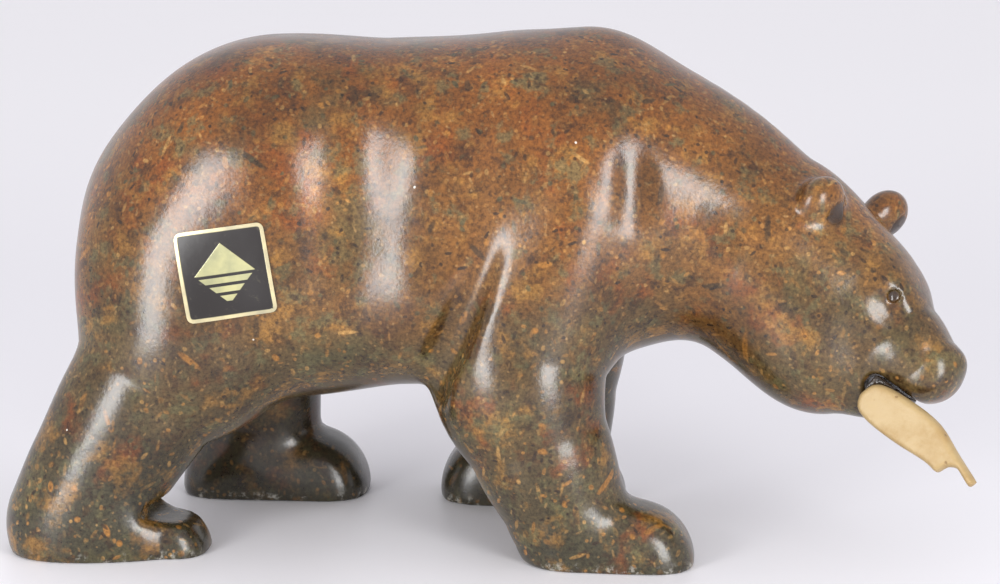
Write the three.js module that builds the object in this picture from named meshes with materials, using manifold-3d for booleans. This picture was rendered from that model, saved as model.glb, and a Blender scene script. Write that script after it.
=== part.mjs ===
// A walking bear carved from one block of soapstone, with a small fish held in its mouth and a
// square foil seal on its right hip.
//
// Millimetres, +Z up. The bear walks towards +X and its left side is +Y. The origin is on the
// ground, under the middle of the carving.
//
// The stone is described by a field: a function of a point that is negative inside the stone and
// grows with the distance from its surface. Rounded masses are melted together and carved places
// are taken away. The surface where the field is zero is drawn with cells that are large on the
// body and small on the head. Sawn, drilled and slotted places are cut into that solid last.

import * as THREE from 'three';
import { mergeVertices } from 'three/addons/utils/BufferGeometryUtils.js';
import Module from 'manifold-3d';

const wasm = await Module();
wasm.setup();

// ---------------------------------------------------------------- driving dimensions

const BODY_CELL = 5; // size of a facet on the body
const HEAD_CELL_SHARE = 0.5; // facets on the head are this much smaller

const BODY_FLATTEN = 0.87; // width of the trunk against its depth
const TRUNK_SQUARENESS = 2.3; // 2 is a round section, more is a squarer one

const FOOT_SPREAD = 24; // from the middle of the bear to the middle of a foot
const FOOT_FLATTEN = 0.86;
const FOOT_SQUARENESS = 2.9;

const HEAD_PITCH = 38; // degrees that the head is lowered
const HEAD_TURN = 29; // degrees that it is turned to the bear's right
const HEAD_PLACE = [68, -13, 56]; // middle of the skull

const HEAD_WIDTH = 40; // cuts that go right across the head are this wide
const EYE_DIAMETER = 2.7;
const EAR_HALVES = [4.4, 6, 5.6];
const EAR_CUP_DIAMETER = 5;

const MOUTH_CORNER = [25, -4.4]; // middle of the arched corner, along and above the head's axis
const MOUTH_RADIUS = 2.4;
const FISH_THICKNESS = 4.2;
const FISH_MIDDLE = -8.2; // the fish lies this far to the right of the head's middle
const FISH_EDGE = 0.55; // chamfer across the outline of the fish
const FISH_EDGE_DEPTH = 1.2; // and through its thickness
const GLUE_THICKNESS = 8;
const GLUE_MIDDLE = -4;
const GLUE_LENGTH = 8;

const SEAL_SIDE = 19;
const SEAL_CORNER = 1.4;
const SEAL_THICKNESS = 0.35;
const SEAL_MIDDLE = [-54, -34, 62.9];
const SEAL_TILT = 9; // degrees that its top edge rises towards the head
const SEAL_CELLS = 8;

const FIT_GAP = 0.3; // between pieces that touch

// From the middle of the carving on the ground to the point that the shapes are placed from.
const PLACE = [2.22, 5.68, 0];

// ---------------------------------------------------------------- field tools

const smoothMin = (a, b, width) => {
  const h = Math.max(width - Math.abs(a - b), 0) / width;
  return Math.min(a, b) - (h * h * h * width) / 6;
};
const smoothMax = (a, b, width) => -smoothMin(-a, -b, width);

// A bar of changing thickness along a smooth curve. Each station is [x, y, z, radius]. flatten
// scales the bar across Y, and squareness above 2 makes its section squarer.
function bar(stations, { flatten = 1, squareness = 2, steps = 5 } = {}) {
  const route = new THREE.CatmullRomCurve3(
    stations.map(([x, y, z]) => new THREE.Vector3(x, y, z)), false, 'centripetal');
  const spans = stations.length - 1;
  const samples = [];
  for (let i = 0; i <= spans * steps; i++) {
    const p = route.getPoint(i / (spans * steps));
    const span = Math.min(Math.floor(i / steps), spans - 1);
    const share = THREE.MathUtils.smoothstep(i / steps - span, 0, 1);
    const radius = THREE.MathUtils.lerp(stations[span][3], stations[span + 1][3], share);
    samples.push([p.x, p.y, p.z, radius]);
  }
  return (x, y, z) => {
    let nearest = Infinity;
    for (let i = 0; i + 1 < samples.length; i++) {
      const [ax, ay, az, ar] = samples[i];
      const [bx, by, bz, br] = samples[i + 1];
      const dx = bx - ax;
      const dy = (by - ay) / flatten;
      const dz = bz - az;
      const px = x - ax;
      const py = (y - ay) / flatten;
      const pz = z - az;
      const along = (px * dx + py * dy + pz * dz) / (dx * dx + dy * dy + dz * dz);
      const t = Math.min(Math.max(along, 0), 1);
      const side = Math.abs(py - t * dy);
      const level = Math.hypot(px - t * dx, pz - t * dz);
      const far = squareness === 2
        ? Math.hypot(side, level)
        : (side ** squareness + level ** squareness) ** (1 / squareness);
      nearest = Math.min(nearest, far - (ar + t * (br - ar)));
    }
    return nearest * (flatten < 1 ? (1 + flatten) / 2 : 1);
  };
}

// A rounded lump: centre, half sizes, and a turn in degrees about X, Y and Z.
function lump(centre, halves, turn = [0, 0, 0]) {
  const angles = turn.map(THREE.MathUtils.degToRad);
  const e = new THREE.Matrix4().makeRotationFromEuler(new THREE.Euler(...angles, 'ZYX')).elements;
  const [cx, cy, cz] = centre;
  const [rx, ry, rz] = halves;
  return (x, y, z) => {
    const px = x - cx;
    const py = y - cy;
    const pz = z - cz;
    const u = (e[0] * px + e[1] * py + e[2] * pz) / rx;
    const v = (e[4] * px + e[5] * py + e[6] * pz) / ry;
    const w = (e[8] * px + e[9] * py + e[10] * pz) / rz;
    const reach = Math.hypot(u, v, w);
    return (reach * (reach - 1)) / Math.max(Math.hypot(u / rx, v / ry, w / rz), 1e-9);
  };
}

// ---------------------------------------------------------------- body

const trunk = bar(
  [
    [-47, 0, 69, 39.2],
    [-22, 0, 70.4, 37.2],
    [4, 0, 71.8, 37],
    [17, -1, 75, 33.6],
    [36, -3, 74.7, 25.4],
    [56, -8, 64.3, 22.7],
  ],
  { flatten: BODY_FLATTEN, squareness: TRUNK_SQUARENESS },
);

const masses = [
  { shape: trunk, melt: 1 },
  // rump and tail
  { shape: lump([-65, 0, 66], [26.5, 27, 27.5]), melt: 8 },
  { shape: lump([-88.2, 0, 56], [4, 6.5, 11], [0, 0, 0]), melt: 3 },
  // shoulder hump
  { shape: lump([20, 0, 91], [17, 17, 18.8]), melt: 8 },
  // haunches and shoulders
  { shape: lump([-66.5, -14, 57], [23.4, 20, 27], [0, 12, 0]), melt: 10 },
  { shape: lump([-60, 14, 57], [22, 20, 27], [0, 6, 0]), melt: 10 },
  { shape: lump([15.5, -15, 67], [15, 19, 31], [0, 14, 0]), melt: 10 },
  { shape: lump([14, 15, 67], [15, 19, 31], [0, 6, 0]), melt: 10 },
];

// The channel between the ribs and the elbow, on each side.
const RIGHT = -1;
const LEFT = 1;
const bodyDents = [RIGHT, LEFT].map((side) => ({
  shape: bar([[2, side * 37.5, 74, 3], [-3, side * 36.5, 62, 4.5],
    [-9, side * 34, 48, 6], [-14, side * 30, 38, 5]]),
  melt: 5,
}));
// The crease between the right hind shin and the toes.
bodyDents.push({ shape: lump([-66, RIGHT * FOOT_SPREAD, 9.6], [8, 22, 2.6]), melt: 2 });

// Each leg is a bar from the trunk down to the ankle and a bar along the foot, which go below
// the ground, where they are sawn off.
function leg(side, shank, foot) {
  const place = ([x, spread, z, radius]) => [x, side * spread, z, radius];
  const upper = bar(shank.map(place), { flatten: FOOT_FLATTEN });
  const lower = bar(foot.map(place), { flatten: FOOT_FLATTEN, squareness: FOOT_SQUARENESS });
  return (x, y, z) => smoothMin(upper(x, y, z), lower(x, y, z), 4);
}

const stride = [
  leg(RIGHT, [[-64, 17, 46, 22], [-73.5, 21, 35, 17], [-84, 24, 17.5, 15.4], [-89, 24, 6, 15.5]],
    [[-88, 24, 4, 15], [-71, 24, -1, 10.5]]),
  leg(LEFT, [[-56, 17, 50, 23], [-58, 21, 32, 14.8], [-57, 24, 18, 13.2], [-58.5, 24, 8, 13]],
    [[-62, 24, 2, 13.5], [-46, 24, 1, 13.5]]),
  leg(RIGHT, [[9, 17, 58, 21], [5.6, 22, 40, 18.4], [10.5, 24, 25, 15], [15.8, 24, 12, 13.2], [17, 24, 7, 12.2]],
    [[21, 24, 3, 12], [31, 24, 0, 12.5]]),
  leg(LEFT, [[10, 17, 60, 20], [10, 22, 40, 17], [10, 24, 25, 14.5], [9, 24, 12, 14]],
    [[-2, 24, 2, 13.5], [16, 24, 0, 11]]),
];
for (const shape of stride) masses.push({ shape, melt: 8 });

// ---------------------------------------------------------------- head

// The head has axes of its own: u towards the nose, v to its left and w up.
const headAxes = new THREE.Matrix4()
  .makeRotationY(THREE.MathUtils.degToRad(HEAD_PITCH))
  .multiply(new THREE.Matrix4().makeRotationZ(THREE.MathUtils.degToRad(-HEAD_TURN)))
  .setPosition(...HEAD_PLACE);
const intoHead = headAxes.clone().invert().elements;

function headPoint(x, y, z) {
  const e = intoHead;
  return [
    e[0] * x + e[4] * y + e[8] * z + e[12],
    e[1] * x + e[5] * y + e[9] * z + e[13],
    e[2] * x + e[6] * y + e[10] * z + e[14],
  ];
}

const headMasses = [
  { shape: lump([0, 0, -1], [19, 17.5, 20.8]), melt: 10 },
  { shape: lump([6.5, 0, -8.5], [15.5, 14.5, 13.4]), melt: 6 },
  { shape: bar([[8, 0, 7, 12], [20, 0, 5, 9.3], [29, 0, 4.6, 7.4]], { squareness: 2.6 }), melt: 6 },
  { shape: bar([[8, 0, -6, 12], [18, 0, -6.5, 8], [27, 0, -6, 5]]), melt: 5 },
  { shape: lump([32, 0, 8], [3.4, 4.5, 3.6]), melt: 2 },
];
// brows and ears, the left ear a little higher and further forward
const EARS = [[-7.5, RIGHT * 13.5, 17], [-4.8, LEFT * 13.5, 20.8]];
for (const side of [RIGHT, LEFT]) {
  headMasses.push({ shape: lump([13, side * 6.5, 12], [6, 4.5, 4.2], [0, 20, 0]), melt: 4 });
}
for (const ear of EARS) headMasses.push({ shape: lump(ear, EAR_HALVES), melt: 4 });

const headDents = [];
for (const side of [RIGHT, LEFT]) {
  // eye sockets, which leave the bridge of the nose between them
  headDents.push({ shape: lump([20, side * 10.5, 11], [6, 3.6, 4]), melt: 3 });
}

function stoneField(x, y, z) {
  let f = Infinity;
  for (const { shape, melt } of masses) f = smoothMin(f, shape(x, y, z), melt);
  const [u, v, w] = headPoint(x, y, z);
  for (const { shape, melt } of headMasses) f = smoothMin(f, shape(u, v, w), melt);
  for (const { shape, melt } of headDents) f = smoothMax(f, -shape(u, v, w), melt);
  for (const { shape, melt } of bodyDents) f = smoothMax(f, -shape(x, y, z), melt);
  return f;
}

// ---------------------------------------------------------------- drawing the field

// Grid lines from one place to another, with a spacing that may change on the way.
function gridLines(from, to, spacingAt) {
  const lines = [from];
  while (lines.at(-1) < to) lines.push(lines.at(-1) + spacingAt(lines.at(-1)));
  return lines;
}

// 1 on the body, HEAD_CELL_SHARE on the head, and between them on the neck.
const cellShare = (x) => THREE.MathUtils.lerp(1, HEAD_CELL_SHARE, THREE.MathUtils.smoothstep(x, 50, 76));

// The grid narrows towards this line on its way along the neck, so that the head gets small cells.
const NARROW_Y = -32;
const NARROW_Z = 52;
const nodeAt = (x, y, z) => [
  x,
  NARROW_Y + (y - NARROW_Y) * cellShare(x),
  NARROW_Z + (z - NARROW_Z) * cellShare(x),
];

const CORNERS = [0, 1, 2, 3, 4, 5, 6, 7].map((c) => [c & 1, (c >> 1) & 1, (c >> 2) & 1]);
const EDGES = CORNERS.flatMap((_, c) => [1, 2, 4].filter((bit) => !(c & bit)).map((bit) => [c, c | bit]));

// Numbers a cell's inside corners by the group that they touch along its edges, so that two
// sheets of the surface that share a cell keep a vertex each.
function cornerGroups(inside) {
  const group = inside.map((_, corner) => corner);
  for (let pass = 0; pass < CORNERS.length; pass++) {
    for (const [a, b] of EDGES) {
      if (inside[a] && inside[b]) group[a] = group[b] = Math.min(group[a], group[b]);
    }
  }
  return group;
}

// One vertex for each sheet of the surface in a cell, and one four-sided face around each grid
// edge that the surface crosses.
function drawField(field, xs, ys, zs) {
  const at = (i, j, k) => (k * ys.length + j) * xs.length + i;
  const nodes = [];
  const value = [];
  zs.forEach((z) => ys.forEach((y) => xs.forEach((x) => {
    nodes.push(nodeAt(x, y, z));
    value.push(field(...nodes.at(-1)));
  })));

  const positions = [];
  const vertexOf = new Map(); // by cell and inside corner
  for (let k = 0; k + 1 < zs.length; k++) {
    for (let j = 0; j + 1 < ys.length; j++) {
      for (let i = 0; i + 1 < xs.length; i++) {
        const ids = CORNERS.map(([a, b, c]) => at(i + a, j + b, k + c));
        const inside = ids.map((id) => value[id] < 0);
        const group = cornerGroups(inside);
        const sheets = new Map();
        for (const [a, b] of EDGES) {
          if (inside[a] === inside[b]) continue;
          const share = value[ids[a]] / (value[ids[a]] - value[ids[b]]);
          const crossing = new THREE.Vector3(...nodes[ids[a]]);
          crossing.lerp(new THREE.Vector3(...nodes[ids[b]]), share);
          const sheet = group[inside[a] ? a : b];
          sheets.set(sheet, [...(sheets.get(sheet) ?? []), crossing]);
        }
        for (const [sheet, crossings] of sheets) {
          const middle = crossings.reduce((sum, p) => sum.add(p), new THREE.Vector3());
          settle(field, middle.divideScalar(crossings.length));
          group.forEach((number, corner) => {
            if (number === sheet) vertexOf.set(`${at(i, j, k)} ${corner}`, positions.length / 3);
          });
          positions.push(...middle.toArray());
        }
      }
    }
  }

  const index = [];
  const point = (vertex) => new THREE.Vector3().fromArray(positions, vertex * 3);
  // The face around the grid edge from node to node + step, through the four cells that share it.
  const addFace = (node, step, turnA, turnB) => {
    const startInside = value[at(...node)] < 0;
    const far = node.map((n, axis) => n + step[axis]);
    if (startInside === value[at(...far)] < 0) return;
    const insideNode = startInside ? node : far;
    const around = [[1, 1], [0, 1], [0, 0], [1, 0]].map(([a, b]) => {
      const cell = node.map((n, axis) => n - a * turnA[axis] - b * turnB[axis]);
      const [ci, cj, ck] = insideNode.map((n, axis) => n - cell[axis]);
      return vertexOf.get(`${at(...cell)} ${ci + 2 * cj + 4 * ck}`);
    });
    const [a, b, c, d] = around;
    const shortAC = point(a).distanceTo(point(c)) < point(b).distanceTo(point(d));
    const halves = shortAC ? [[a, b, c], [a, c, d]] : [[a, b, d], [b, c, d]];
    for (const [p, q, r] of halves) index.push(p, ...(startInside ? [q, r] : [r, q]));
  };
  const axes = [[1, 0, 0], [0, 1, 0], [0, 0, 1]];
  for (let k = 1; k + 1 < zs.length; k++) {
    for (let j = 1; j + 1 < ys.length; j++) {
      for (let i = 1; i + 1 < xs.length; i++) {
        axes.forEach((step, n) => addFace([i, j, k], step, axes[(n + 1) % 3], axes[(n + 2) % 3]));
      }
    }
  }
  return new THREE.BufferGeometry()
    .setAttribute('position', new THREE.Float32BufferAttribute(positions, 3))
    .setIndex(index);
}

// Slides a point along the field's slope until it lies on the surface.
function settle(field, point, level = 0) {
  const reach = 0.05;
  for (let round = 0; round < 4; round++) {
    const { x, y, z } = point;
    const slope = new THREE.Vector3(
      field(x + reach, y, z) - field(x - reach, y, z),
      field(x, y + reach, z) - field(x, y - reach, z),
      field(x, y, z + reach) - field(x, y, z - reach),
    ).divideScalar(2 * reach);
    const miss = THREE.MathUtils.clamp(field(x, y, z) - level, -1, 1);
    point.addScaledVector(slope, -miss / Math.max(slope.lengthSq(), 0.2));
  }
  return point;
}

// ---------------------------------------------------------------- cutting

function solidOf(geometry) {
  const bare = geometry.clone();
  bare.deleteAttribute('normal');
  bare.deleteAttribute('uv');
  const merged = mergeVertices(bare, 1e-4);
  return new wasm.Manifold(new wasm.Mesh({
    numProp: 3,
    vertProperties: merged.attributes.position.array,
    triVerts: new Uint32Array(merged.index.array),
  }));
}

function geometryOf(solid) {
  const { vertProperties, triVerts } = solid.getMesh();
  return new THREE.BufferGeometry()
    .setAttribute('position', new THREE.BufferAttribute(vertProperties, 3))
    .setIndex(new THREE.BufferAttribute(triVerts, 1));
}

// ---------------------------------------------------------------- mouth and fish

// The fish lies along the head's u axis. Its outline is drawn in u and w.
function fishOutline() {
  const at = (u, w) => new THREE.Vector2(u, w);
  const shape = new THREE.Shape();
  shape.moveTo(24.5, -7.4);
  // back, from the nose to the long tail point
  shape.splineThru([at(26, -3.4), at(33, -1.5), at(41, -0.9), at(48, -2.8), at(54.8, -4.6)]);
  // broken fork of the tail
  shape.lineTo(54.4, -6.3);
  shape.lineTo(50, -5);
  shape.lineTo(48.2, -6.2);
  shape.lineTo(47.4, -8.7);
  // belly
  shape.splineThru([at(44, -8.6), at(37, -9.9), at(30, -10.6), at(26, -9.9), at(24.5, -7.4)]);
  return shape;
}

// A flat shape of the head's u and w, as thick as asked, standing across the head.
function acrossHead(shape, thickness, middle, edge, edgeDepth) {
  const geometry = new THREE.ExtrudeGeometry(shape, {
    depth: thickness - 2 * edgeDepth,
    curveSegments: 3,
    bevelSize: edge,
    bevelOffset: -edge,
    bevelThickness: edgeDepth,
    bevelSegments: edgeDepth > 0 ? 1 : 0,
  });
  return geometry
    .translate(0, 0, edgeDepth - thickness / 2)
    .rotateX(Math.PI / 2)
    .translate(0, middle, 0);
}

// The open mouth runs right across the muzzle, from an arched corner to the lips.
function mouthOutline(inset) {
  const [u, w] = MOUTH_CORNER;
  const radius = MOUTH_RADIUS - inset;
  const shape = new THREE.Shape();
  shape.moveTo(u + 15, w + 0.6 - radius);
  shape.lineTo(u, w - radius);
  shape.absarc(u, w, radius, -Math.PI / 2, -Math.PI, true);
  shape.absarc(u, w, radius, Math.PI, Math.PI / 2, true);
  shape.lineTo(u + 15, w + 1 + radius);
  return shape;
}

const fishGeometry = () =>
  acrossHead(fishOutline(), FISH_THICKNESS, FISH_MIDDLE, FISH_EDGE, FISH_EDGE_DEPTH);

// The recess in the jaws that the fish lies in.
const fishRecess = () =>
  acrossHead(fishOutline(), FISH_THICKNESS + 2 * FIT_GAP, FISH_MIDDLE, -FIT_GAP, 0);

// Dark glue fills the mouth behind and above the fish.
function glueGeometry() {
  const filling = solidOf(acrossHead(mouthOutline(FIT_GAP), GLUE_THICKNESS, GLUE_MIDDLE, 0, 0));
  const reach = new THREE.BoxGeometry(GLUE_LENGTH, HEAD_WIDTH, HEAD_WIDTH)
    .translate(MOUTH_CORNER[0] - 1 + GLUE_LENGTH / 2, 0, 0);
  return geometryOf(filling.intersect(solidOf(reach)).subtract(solidOf(fishRecess())));
}

// ---------------------------------------------------------------- foil seal

// A thin square laid on the stone, following its curve.
function sealGeometry() {
  const half = SEAL_SIDE / 2;
  const geometry = new THREE.BoxGeometry(SEAL_SIDE, 1, SEAL_SIDE, SEAL_CELLS, 1, SEAL_CELLS);
  const place = geometry.attributes.position;
  const tilt = THREE.MathUtils.degToRad(-SEAL_TILT);
  for (let i = 0; i < place.count; i++) {
    const outer = place.getY(i) < 0;
    const across = new THREE.Vector2(place.getX(i), place.getZ(i));
    if (Math.abs(across.x) === half && Math.abs(across.y) === half) {
      across.multiplyScalar(1 - (SEAL_CORNER * (1 - Math.SQRT1_2)) / half);
    }
    across.rotateAround(new THREE.Vector2(), -tilt);
    const point = new THREE.Vector3(
      SEAL_MIDDLE[0] + across.x, SEAL_MIDDLE[1], SEAL_MIDDLE[2] + across.y);
    settle(stoneField, point, FIT_GAP + (outer ? SEAL_THICKNESS : 0));
    place.setXYZ(i, point.x, point.y, point.z);
  }
  return geometry;
}

// A drilled hole in the head from a point outside it towards a point inside it.
function drilled(from, to, diameter, sides = 12) {
  const start = new THREE.Vector3(...from);
  const run = new THREE.Vector3(...to).sub(start);
  const turn = new THREE.Quaternion().setFromUnitVectors(
    new THREE.Vector3(0, 1, 0), run.clone().normalize());
  return new THREE.CylinderGeometry(diameter / 2, diameter / 2, run.length(), sides)
    .applyQuaternion(turn)
    .translate(...start.addScaledVector(run, 0.5).toArray());
}

// ---------------------------------------------------------------- assembly

const bodySpacing = (x) => BODY_CELL * cellShare(x);
const legSpacing = (z) => (z < 20 ? 0.8 : 1) * BODY_CELL;

function bearGeometry() {
  const stone = drawField(
    stoneField,
    gridLines(-112, 108, bodySpacing),
    gridLines(-46, 46, () => BODY_CELL),
    gridLines(-22, 116, legSpacing),
  );
  const ground = new THREE.BoxGeometry(300, 200, 40).translate(0, 0, -20);
  const headCuts = [acrossHead(mouthOutline(0), HEAD_WIDTH, 0, 0, 0), fishRecess()];
  for (const side of [RIGHT, LEFT]) {
    headCuts.push(drilled([15.7, side * 14, 12.6], [14, side * 4.5, 12.2], EYE_DIAMETER));
  }
  for (const [u, v, w] of EARS) {
    headCuts.push(drilled([u + 8, v, w + 0.5], [u + 1.6, v, w + 0.5], EAR_CUP_DIAMETER));
  }
  let solid = solidOf(stone).subtract(solidOf(ground));
  for (const cut of headCuts) solid = solid.subtract(solidOf(cut.applyMatrix4(headAxes)));
  return geometryOf(solid);
}

const group = new THREE.Group();

function addPiece(name, geometry, color, roughness, metalness = 0) {
  const material = new THREE.MeshStandardMaterial({ color, roughness, metalness });
  const mesh = new THREE.Mesh(geometry, material);
  mesh.name = name;
  mesh.position.set(...PLACE);
  group.add(mesh);
}

addPiece('bear', bearGeometry(), 0x7a5b36, 0.3);
addPiece('fish', fishGeometry().applyMatrix4(headAxes), 0xe6cd96, 0.55);
addPiece('mouth_glue', glueGeometry().applyMatrix4(headAxes), 0x1d1512, 0.15);
addPiece('foil_seal', sealGeometry(), 0x8d854f, 0.35, 0.8);

export default group;
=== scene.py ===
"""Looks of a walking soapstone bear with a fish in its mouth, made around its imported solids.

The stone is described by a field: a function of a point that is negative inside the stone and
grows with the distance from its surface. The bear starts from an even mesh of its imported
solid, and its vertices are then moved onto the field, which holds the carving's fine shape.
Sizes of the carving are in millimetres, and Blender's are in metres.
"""

import logging
import math
from dataclasses import dataclass, field
from enum import Enum
from typing import Callable, Sequence

import bmesh
import bpy
import numpy as np
from mathutils import Matrix, Vector


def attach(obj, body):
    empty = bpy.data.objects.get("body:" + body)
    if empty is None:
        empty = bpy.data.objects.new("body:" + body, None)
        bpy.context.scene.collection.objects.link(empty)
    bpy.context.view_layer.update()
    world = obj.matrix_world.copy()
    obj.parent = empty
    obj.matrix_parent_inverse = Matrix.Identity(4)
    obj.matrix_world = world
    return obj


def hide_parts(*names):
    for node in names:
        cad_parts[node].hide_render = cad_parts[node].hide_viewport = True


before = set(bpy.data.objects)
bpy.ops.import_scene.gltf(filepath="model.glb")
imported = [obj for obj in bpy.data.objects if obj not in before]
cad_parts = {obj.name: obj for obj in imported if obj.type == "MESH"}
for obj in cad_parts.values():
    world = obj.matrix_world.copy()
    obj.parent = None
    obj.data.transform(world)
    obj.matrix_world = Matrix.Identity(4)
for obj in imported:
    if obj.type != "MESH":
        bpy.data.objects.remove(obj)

LOG = logging.getLogger("soapstone_bear")

MM = 0.001
BODY = "root"

# From the middle of the carving on the ground to the point that its shapes are placed from.
PLACE = np.array([2.22, 5.68, 0.0])

RIGHT = -1
LEFT = 1

Distance = Callable[[np.ndarray], np.ndarray]


class Place(Enum):
    """The part of the carving that a shape belongs to, which has axes of its own."""

    BODY = "body"
    HEAD = "head"


# ---------------------------------------------------------------- field tools


def smooth_min(a: np.ndarray, b: np.ndarray, width: float) -> np.ndarray:
    """Joins two shapes with a rounded fillet.

    Args:
        a: distances to the first shape.
        b: distances to the second shape.
        width: how far the fillet reaches, in millimetres.

    Returns:
        The distances to the joined shape.
    """
    h = np.maximum(width - np.abs(a - b), 0.0) / width
    return np.minimum(a, b) - h * h * h * width / 6.0


def smooth_max(a: np.ndarray, b: np.ndarray, width: float) -> np.ndarray:
    """Keeps what two shapes share, with a rounded edge. See smooth_min."""
    return -smooth_min(-a, -b, width)


def smooth_step(x: np.ndarray, low: float, high: float) -> np.ndarray:
    """Rises smoothly from 0 at low to 1 at high."""
    t = np.clip((x - low) / (high - low), 0.0, 1.0)
    return t * t * (3.0 - 2.0 * t)


@dataclass(frozen=True)
class Bar:
    """A bar of changing thickness along a smooth curve.

    Each station is (x, y, z, radius). flatten scales the bar across Y, and squareness above 2
    makes its section squarer.
    """

    stations: tuple[tuple[float, float, float, float], ...]
    flatten: float = 1.0
    squareness: float = 2.0
    steps: int = 10

    def route_point(self, span: int, t: float) -> np.ndarray:
        """A point of the centripetal curve through the stations.

        Args:
            span: number of the stretch between two stations.
            t: place along that stretch, from 0 to 1.

        Returns:
            The point as x, y, z.
        """
        places = np.array(self.stations)[:, :3]
        before = places[span - 1] if span > 0 else 2 * places[0] - places[1]
        last = span + 2 >= len(places)
        after = 2 * places[-1] - places[-2] if last else places[span + 2]
        knots = [before, places[span], places[span + 1], after]
        gaps = [max(np.linalg.norm(b - a) ** 0.5, 1e-4) for a, b in zip(knots, knots[1:])]
        middle = gaps[1]
        leave = (knots[1] - knots[0]) / gaps[0] - (knots[2] - knots[0]) / (gaps[0] + middle)
        leave = (leave + (knots[2] - knots[1]) / middle) * middle
        arrive = (knots[2] - knots[1]) / middle - (knots[3] - knots[1]) / (middle + gaps[2])
        arrive = (arrive + (knots[3] - knots[2]) / gaps[2]) * middle
        step = knots[2] - knots[1]
        return (
            knots[1]
            + leave * t
            + (3 * step - 2 * leave - arrive) * t**2
            + (leave + arrive - 2 * step) * t**3
        )

    def samples(self) -> np.ndarray:
        """Points along the bar, each with its radius, as rows of x, y, z, radius."""
        rows = []
        for span in range(len(self.stations) - 1):
            start, end = self.stations[span][3], self.stations[span + 1][3]
            for step in range(self.steps):
                t = step / self.steps
                share = t * t * (3 - 2 * t)
                rows.append([*self.route_point(span, t), start + (end - start) * share])
        rows.append(list(self.stations[-1]))
        return np.array(rows)

    def distance(self, points: np.ndarray) -> np.ndarray:
        """Distances from points, given as rows of x, y, z, to the bar's surface."""
        samples = self.samples()
        nearest = np.full(len(points), np.inf)
        for start, end in zip(samples[:-1], samples[1:]):
            run = (end - start)[:3] / (1.0, self.flatten, 1.0)
            off = (points - start[:3]) / (1.0, self.flatten, 1.0)
            t = np.clip(off @ run / (run @ run), 0.0, 1.0)
            side = np.abs(off[:, 1] - t * run[1])
            level = np.hypot(off[:, 0] - t * run[0], off[:, 2] - t * run[2])
            if self.squareness == 2.0:
                far = np.hypot(side, level)
            else:
                far = (side**self.squareness + level**self.squareness) ** (1 / self.squareness)
            nearest = np.minimum(nearest, far - (start[3] + t * (end[3] - start[3])))
        return nearest * ((1 + self.flatten) / 2)

    def bounds(self) -> tuple[np.ndarray, np.ndarray]:
        """The lowest and the highest corner of the bar's box."""
        samples = self.samples()
        radius = samples[:, 3:]
        return (samples[:, :3] - radius).min(0), (samples[:, :3] + radius).max(0)


@dataclass(frozen=True)
class Lump:
    """A rounded lump with half sizes along X, Y and Z, turned by lean degrees about Y."""

    centre: tuple[float, float, float]
    halves: tuple[float, float, float]
    lean: float = 0.0

    def distance(self, points: np.ndarray) -> np.ndarray:
        """Distances from points, given as rows of x, y, z, to the lump's surface."""
        turn = np.array(Matrix.Rotation(math.radians(self.lean), 3, "Y"))
        halves = np.array(self.halves)
        local = (points - self.centre) @ turn / halves
        reach = np.linalg.norm(local, axis=1)
        slope = np.maximum(np.linalg.norm(local / halves, axis=1), 1e-9)
        return reach * (reach - 1.0) / slope

    def bounds(self) -> tuple[np.ndarray, np.ndarray]:
        """The lowest and the highest corner of the lump's box."""
        reach = max(self.halves)
        return np.array(self.centre) - reach, np.array(self.centre) + reach


@dataclass(frozen=True)
class Leg:
    """A leg as a bar down to the ankle and a bar along the foot."""

    shank: Bar
    foot: Bar
    melt: float = 4.0

    def distance(self, points: np.ndarray) -> np.ndarray:
        """Distances from points, given as rows of x, y, z, to the leg's surface."""
        return smooth_min(self.shank.distance(points), self.foot.distance(points), self.melt)

    def bounds(self) -> tuple[np.ndarray, np.ndarray]:
        """The lowest and the highest corner of the leg's box."""
        shank, foot = self.shank.bounds(), self.foot.bounds()
        return np.minimum(shank[0], foot[0]), np.maximum(shank[1], foot[1])


@dataclass(frozen=True)
class Feature:
    """A shape with the part that it belongs to and the width of its fillet."""

    shape: "Bar | Lump | Leg"
    melt: float
    place: Place = Place.BODY

    def apply(
        self,
        so_far: np.ndarray,
        points: np.ndarray,
        join: Callable[[np.ndarray, np.ndarray, float], np.ndarray],
        sign: float,
    ) -> None:
        """Joins the shape to the distances so far, or cuts it out of them.

        Only points near the shape are worked out, because it can't change the others.

        Args:
            so_far: distances to the stone, which are changed in place.
            points: the points in the shape's own axes.
            join: smooth_min to join or smooth_max to cut.
            sign: 1 to join, -1 to cut.
        """
        low, high = self.shape.bounds()
        margin = 1.5 * self.melt + 6.0
        near = ((points > low - margin) & (points < high + margin)).all(axis=1)
        if near.any():
            distance = sign * self.shape.distance(points[near])
            so_far[near] = join(so_far[near], distance, self.melt)


def settled(
    points: np.ndarray, distance: Distance, level: float = 0.0, rounds: int = 3
) -> np.ndarray:
    """Slides points along the field's slope until they lie on its surface.

    Args:
        points: rows of x, y, z.
        distance: the field.
        level: the distance from the surface to stop at.
        rounds: how many steps each point takes.

    Returns:
        The moved points.
    """
    reach = 0.05
    farthest = 1.5
    for _ in range(rounds):
        value = distance(points)
        slope = np.stack(
            [(distance(points + reach * axis) - value) / reach for axis in np.eye(3)], axis=1
        )
        steep = np.maximum((slope**2).sum(axis=1), 0.2)
        miss = np.clip(value - level, -farthest, farthest)
        points = points - slope * (miss / steep)[:, None]
    return points


# ---------------------------------------------------------------- shape of the carving


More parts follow.
